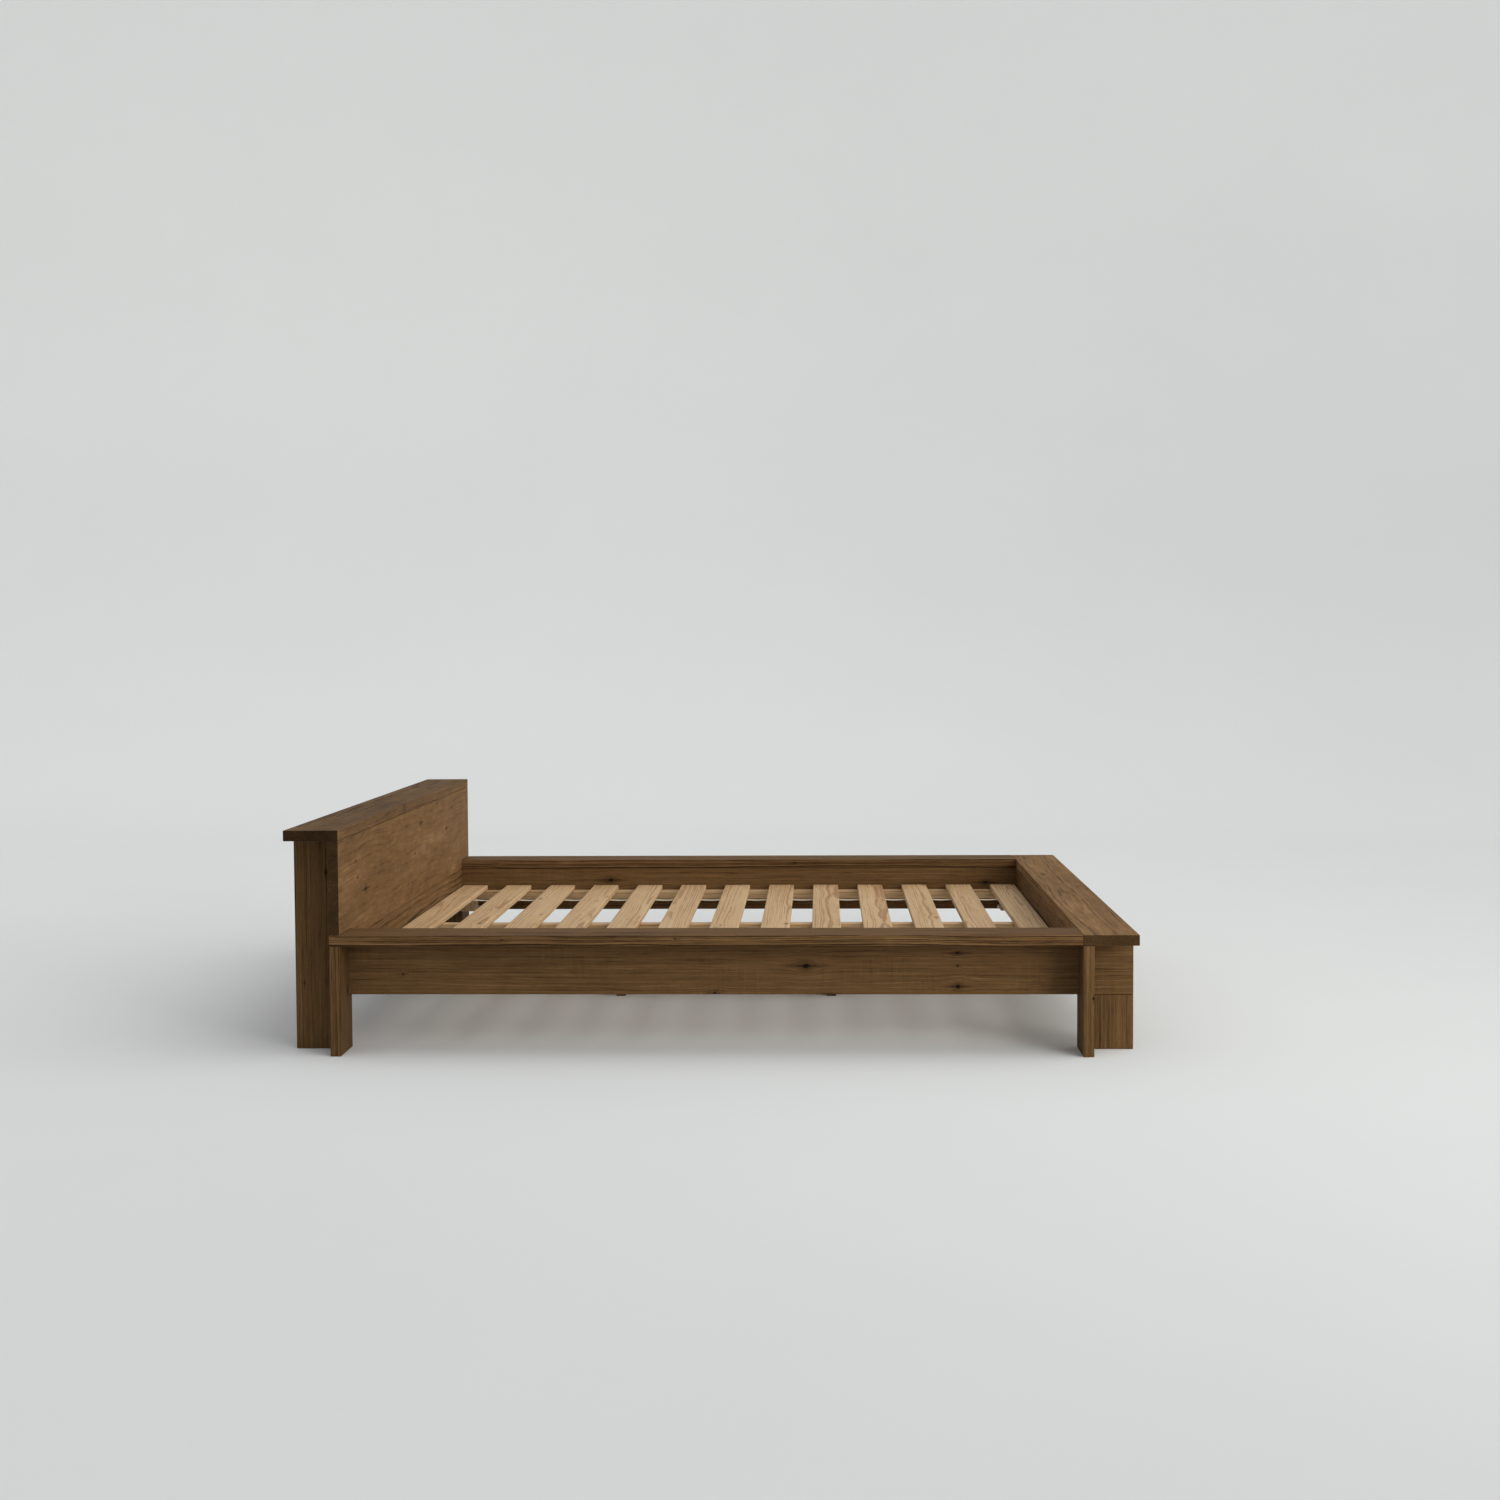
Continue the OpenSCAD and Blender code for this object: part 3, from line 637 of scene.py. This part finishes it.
def webbingMaterial():
    material, tree = newMaterial("cottonWebbing")
    place = addNode(tree, "ShaderNodeTexCoord").outputs["Object"]
    bands = {"Vector": place, "Scale": weave["threads"], "Distortion": weave["unruly"]}
    warp = addNode(tree, "ShaderNodeTexWave", bands, bands_direction="Y").outputs["Fac"]
    weft = addNode(tree, "ShaderNodeTexWave", bands, bands_direction="X").outputs["Fac"]
    raised = sums(tree, "MULTIPLY", warp, weft)
    fluff = noise(tree, place, (weave["fluff"],) * 3, 2.0, 0.6)
    colour = mixColour(tree, raised, weave["gap"], weave["thread"])
    fluff = sums(tree, "MULTIPLY", fluff, weave["fluffShare"])
    colour = mixColour(tree, fluff, colour, weave["fluffColour"])
    bump = addNode(tree, "ShaderNodeBump", {"Height": raised, "Strength": weave["relief"],
                                            "Distance": weave["reliefDepth"]}).outputs[0]
    shader = addNode(tree, "ShaderNodeBsdfPrincipled", {
        "Base Color": colour, "Roughness": weave["roughness"], "Normal": bump})
    addNode(tree, "ShaderNodeOutputMaterial", {"Surface": shader.outputs[0]})
    return material


zinc = metalMaterial("zincPlate", rgb(0.62, 0.63, 0.65), 0.38)
brass = metalMaterial("turnedBrass", rgb(0.70, 0.52, 0.22), 0.34)
webbing = webbingMaterial()
dowelLow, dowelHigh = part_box("wood_dowels")
beech = boardMaterial("rawBeech", bareSoftwood, plainLook, dowelLow, dowelHigh)
for name, material in (("corner_bolts", zinc), ("corner_washers", zinc), ("strap_staples", zinc),
                       ("threaded_inserts", brass), ("wood_dowels", beech)):
    data = nodes[name].data
    data.materials.clear()
    data.materials.append(material)

strap = {"thick": 0.0012, "sag": 0.0012, "lengthSteps": 300, "widthSteps": 4}
firstLow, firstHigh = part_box("slat_01")
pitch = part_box("slat_02")[0].x - firstLow.x


def strapSag(x):  # how far the webbing hangs below the slats at a place along the bed
    place = (x - (firstLow.x + firstHigh.x) / 2) / pitch
    edge = (firstHigh.x - firstLow.x) / 2 / pitch
    over = max(0.0, abs(place - round(place)) - edge) / (0.5 - edge)
    return strap["sag"] * over * over * (3 - 2 * over)


for name in ("slat_strap_left", "slat_strap_right"):
    low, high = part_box(name)
    mesh = bmesh.new()
    bmesh.ops.create_grid(mesh, x_segments=strap["lengthSteps"], y_segments=strap["widthSteps"], size=0.5)
    bmesh.ops.scale(mesh, verts=mesh.verts, vec=(high.x - low.x, high.y - low.y, 1.0))
    bmesh.ops.translate(mesh, verts=mesh.verts, vec=((low.x + high.x) / 2, (low.y + high.y) / 2, high.z))
    for corner in mesh.verts:
        corner.co.z -= strapSag(corner.co.x)
    grown = bmesh.ops.extrude_face_region(mesh, geom=mesh.faces[:])["geom"]
    moved = [item for item in grown if isinstance(item, bmesh.types.BMVert)]
    bmesh.ops.translate(mesh, verts=moved, vec=(0, 0, -strap["thick"]))
    finishPiece("piece_" + name, mesh, webbing, "cotton_webbing", name)


# countersunk screws with a star recess, one for each loose solid of the screw node

screw = {"sides": 24, "recess": 0.46, "starPoint": 0.70, "depth": 0.0018, "recessTaper": 0.9,
         "tip": 0.008, "tipTaper": 0.15, "tolerance": 0.0001, "facing": 0.9}


def looseParts(name):
    mesh = bmesh.new()
    mesh.from_mesh(nodes[name].data)
    left = set(mesh.verts)
    parts = []
    while left:
        part = {left.pop()}
        edge = list(part)
        while edge:
            corner = edge.pop()
            near = {link.other_vert(corner) for link in corner.link_edges} - part
            part |= near
            edge.extend(near)
        left -= part
        parts.append([corner.co.copy() for corner in part])
    mesh.free()
    return parts


def measureScrew(places):  # its place and turn, with the head's face at the origin, its length and radii
    spans = [(min(place[k] for place in places), max(place[k] for place in places)) for k in range(3)]
    axis = max(range(3), key=lambda k: spans[k][1] - spans[k][0])
    middle = Vector([sum(span) / 2 for span in spans])
    along = Vector([float(k == axis) for k in range(3)])
    radii = [max((place - middle - along * (place - middle)[axis]).length
                 for place in places if abs(place[axis] - end) < screw["tolerance"]) for end in spans[axis]]
    length = spans[axis][1] - spans[axis][0]
    outward = along if radii[1] > radii[0] else -along
    turn = outward.to_track_quat("Z", "Y").to_matrix().to_4x4()
    return Matrix.Translation(middle + outward * length / 2) @ turn, length, max(radii), min(radii)


def pushFace(mesh, face, depth, narrow=1.0):  # draws a face along Z, and narrows it towards its middle
    face = bmesh.ops.extrude_discrete_faces(mesh, faces=[face])["faces"][0]
    middle = face.calc_center_median()
    for corner in face.verts:
        corner.co = middle + (corner.co - middle) * narrow + Vector((0, 0, depth))
    return face


def makeScrews():
    mesh = bmesh.new()
    for place, length, wide, slim in map(measureScrew, looseParts("wood_screws")):
        one = bmesh.new()
        headHeight = wide - slim
        bmesh.ops.create_cone(one, cap_ends=True, segments=screw["sides"], radius1=slim, radius2=wide,
                              depth=headHeight)
        bmesh.ops.translate(one, verts=one.verts, vec=(0, 0, -headHeight / 2))
        one.normal_update()
        top = next(face for face in one.faces if face.normal.z > screw["facing"])
        foot = next(face for face in one.faces if face.normal.z < -screw["facing"])
        bmesh.ops.inset_region(one, faces=[top], thickness=wide * (1 - screw["recess"]))
        for k, corner in enumerate(top.verts):
            corner.co *= 1.0 if k % 4 < 2 else screw["starPoint"]
        pushFace(one, top, -screw["depth"], screw["recessTaper"])
        foot = pushFace(one, foot, -(length - headHeight - screw["tip"]))
        pushFace(one, foot, -screw["tip"], screw["tipTaper"])
        bmesh.ops.recalc_face_normals(one, faces=one.faces)
        bmesh.ops.transform(one, matrix=place, verts=one.verts)
        part = bpy.data.meshes.new("screw")
        one.to_mesh(part)
        one.free()
        mesh.from_mesh(part)
        bpy.data.meshes.remove(part)
    return mesh


finishPiece("piece_wood_screws", makeScrews(), zinc, "zinc_steel", "wood_screws")
print("fittings finished")


# stage, lights and camera

# the backdrop is one paint; its paler wall colour and the paling with height are painted light, making the
# wall look as lit as the floor and brighter higher up
stage = {"near": -60.0, "far": 9.0, "side": 60.0, "rise": 9.0, "curve": 4.0, "steps": 24,
         "floor": rgb(0.770, 0.780, 0.768), "wall": rgb(0.89, 0.895, 0.875), "paling": (1.2, 4.6),
         "mottle": 0.8, "mottleShare": 0.04}


def makeStage():
    mesh = bmesh.new()
    path = [(stage["near"], 0.0)]
    for k in range(stage["steps"] + 1):
        turn = math.pi / 2 * k / stage["steps"]
        path.append((stage["far"] - stage["curve"] * (1 - math.sin(turn)),
                     stage["curve"] * (1 - math.cos(turn))))
    path.append((stage["far"], stage["rise"]))
    line = [mesh.verts.new((-stage["side"], y, z)) for y, z in path]
    edges = [mesh.edges.new(pair) for pair in zip(line, line[1:])]
    grown = bmesh.ops.extrude_edge_only(mesh, edges=edges)["geom"]
    moved = [item for item in grown if isinstance(item, bmesh.types.BMVert)]
    bmesh.ops.translate(mesh, verts=moved, vec=(2 * stage["side"], 0, 0))
    mesh.normal_update()
    if next(iter(mesh.faces)).normal.z < 0:
        bmesh.ops.reverse_faces(mesh, faces=mesh.faces)
    for face in mesh.faces:
        face.smooth = True
    data = bpy.data.meshes.new("studioFloor")
    mesh.to_mesh(data)
    mesh.free()
    floor = bpy.data.objects.new("studioFloor", data)
    bpy.context.scene.collection.objects.link(floor)
    material, tree = newMaterial("paleFloor")
    place = addNode(tree, "ShaderNodeTexCoord").outputs["Object"]
    height = addNode(tree, "ShaderNodeSeparateXYZ", {0: place}).outputs["Z"]
    # painted light: the backdrop is painted paler with height
    colour = mixColour(tree, between(tree, height, *stage["paling"]), stage["floor"], stage["wall"])
    mottle = noise(tree, place, (stage["mottle"],) * 3, 3.0, 0.6)
    cloudy = blend(tree, mottle, stage["mottleShare"], 1.0 - stage["mottleShare"] / 2)
    colour = mixColour(tree, 1.0, colour, grey(tree, cloudy), "MULTIPLY")
    paint = addNode(tree, "ShaderNodeBsdfDiffuse", {"Color": colour}).outputs[0]
    clear = addNode(tree, "ShaderNodeBsdfTransparent").outputs[0]
    below = addNode(tree, "ShaderNodeNewGeometry").outputs["Backfacing"]
    both = addNode(tree, "ShaderNodeMixShader", {0: below, 1: paint, 2: clear}).outputs[0]
    addNode(tree, "ShaderNodeOutputMaterial", {"Surface": both})
    data.materials.append(material)
    floor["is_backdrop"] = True


def addLight(name, kind, values, **settings):
    lamp = bpy.data.lights.new(name, kind)
    lamp.energy = values["power"]
    lamp.color = values["colour"]
    for key, value in settings.items():
        setattr(lamp, key, value)
    light = bpy.data.objects.new(name, lamp)
    bpy.context.scene.collection.objects.link(light)
    light.location = values["from"]
    towards = Vector(values["aim"]) - Vector(values["from"])
    light.rotation_euler = towards.to_track_quat("-Z", "Y").to_euler()
    light.visible_camera = False


makeStage()
windows = {"power": 1.55, "angle": 1.4, "from": (6.6, -2.4, 6.4), "aim": (0.0, 0.0, 0.0),
           "colour": (1.0, 0.985, 0.955)}
glow = {"power": 24.0, "size": 3.0, "spread": 0.9, "from": (5.2, -6.2, 1.9), "aim": (1.2, 0.2, 0.3),
        "colour": (1.0, 0.98, 0.94)}
air = {"colour": rgb(0.93, 0.96, 1.0), "strength": 0.52, "seenColour": rgb(0.985, 1.0, 0.98), "seen": 0.66}


def makeAir():  # soft light from all round, and a paler tone where the camera sees past the floor
    sky = bpy.data.worlds.new("studioAir")
    bpy.context.scene.world = sky
    sky.use_nodes = True
    tree = sky.node_tree
    ambience = tree.nodes["Background"].inputs
    seen = addNode(tree, "ShaderNodeLightPath").outputs["Is Camera Ray"]
    tree.links.new(mixColour(tree, seen, air["colour"], air["seenColour"]), ambience["Color"])
    tree.links.new(between(tree, seen, 0.0, 1.0, air["strength"], air["seen"]), ambience["Strength"])


addLight("windows", "SUN", windows, angle=windows["angle"])
addLight("sideGlow", "AREA", glow, shape="SQUARE", size=glow["size"], spread=glow["spread"])
makeAir()

camera = {  # a long lens a little right of the bed's middle, at chest height, angles in degrees
    "place": (0.3003, -6.6669, 1.1204), "lens": 50.597, "sensor": 36.0, "reach": 100.0,
    "yaw": 1.919, "pitch": -2.985, "roll": -0.321}


def makeCamera():
    data = bpy.data.cameras.new("bedCamera")
    data.sensor_width = camera["sensor"]
    data.lens = camera["lens"]
    data.clip_end = camera["reach"]
    seen = bpy.data.objects.new("bedCamera", data)
    bpy.context.scene.collection.objects.link(seen)
    turned = [Matrix.Rotation(math.radians(camera[key]), 4, axis)
              for key, axis in (("yaw", "Z"), ("pitch", "X"), ("roll", "Z"))]
    level = Matrix.Rotation(math.pi / 2, 4, "X")
    seen.matrix_world = Matrix.Translation(camera["place"]) @ turned[0] @ turned[1] @ level @ turned[2]
    bpy.context.scene.camera = seen


makeCamera()
print("stage, lights and camera ready")
bpy.context.scene.view_settings.view_transform = "Standard"
bpy.context.scene.view_settings.look = "None"

low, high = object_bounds()
print("visual box:", [round(v, 4) for v in low], [round(v, 4) for v in high])
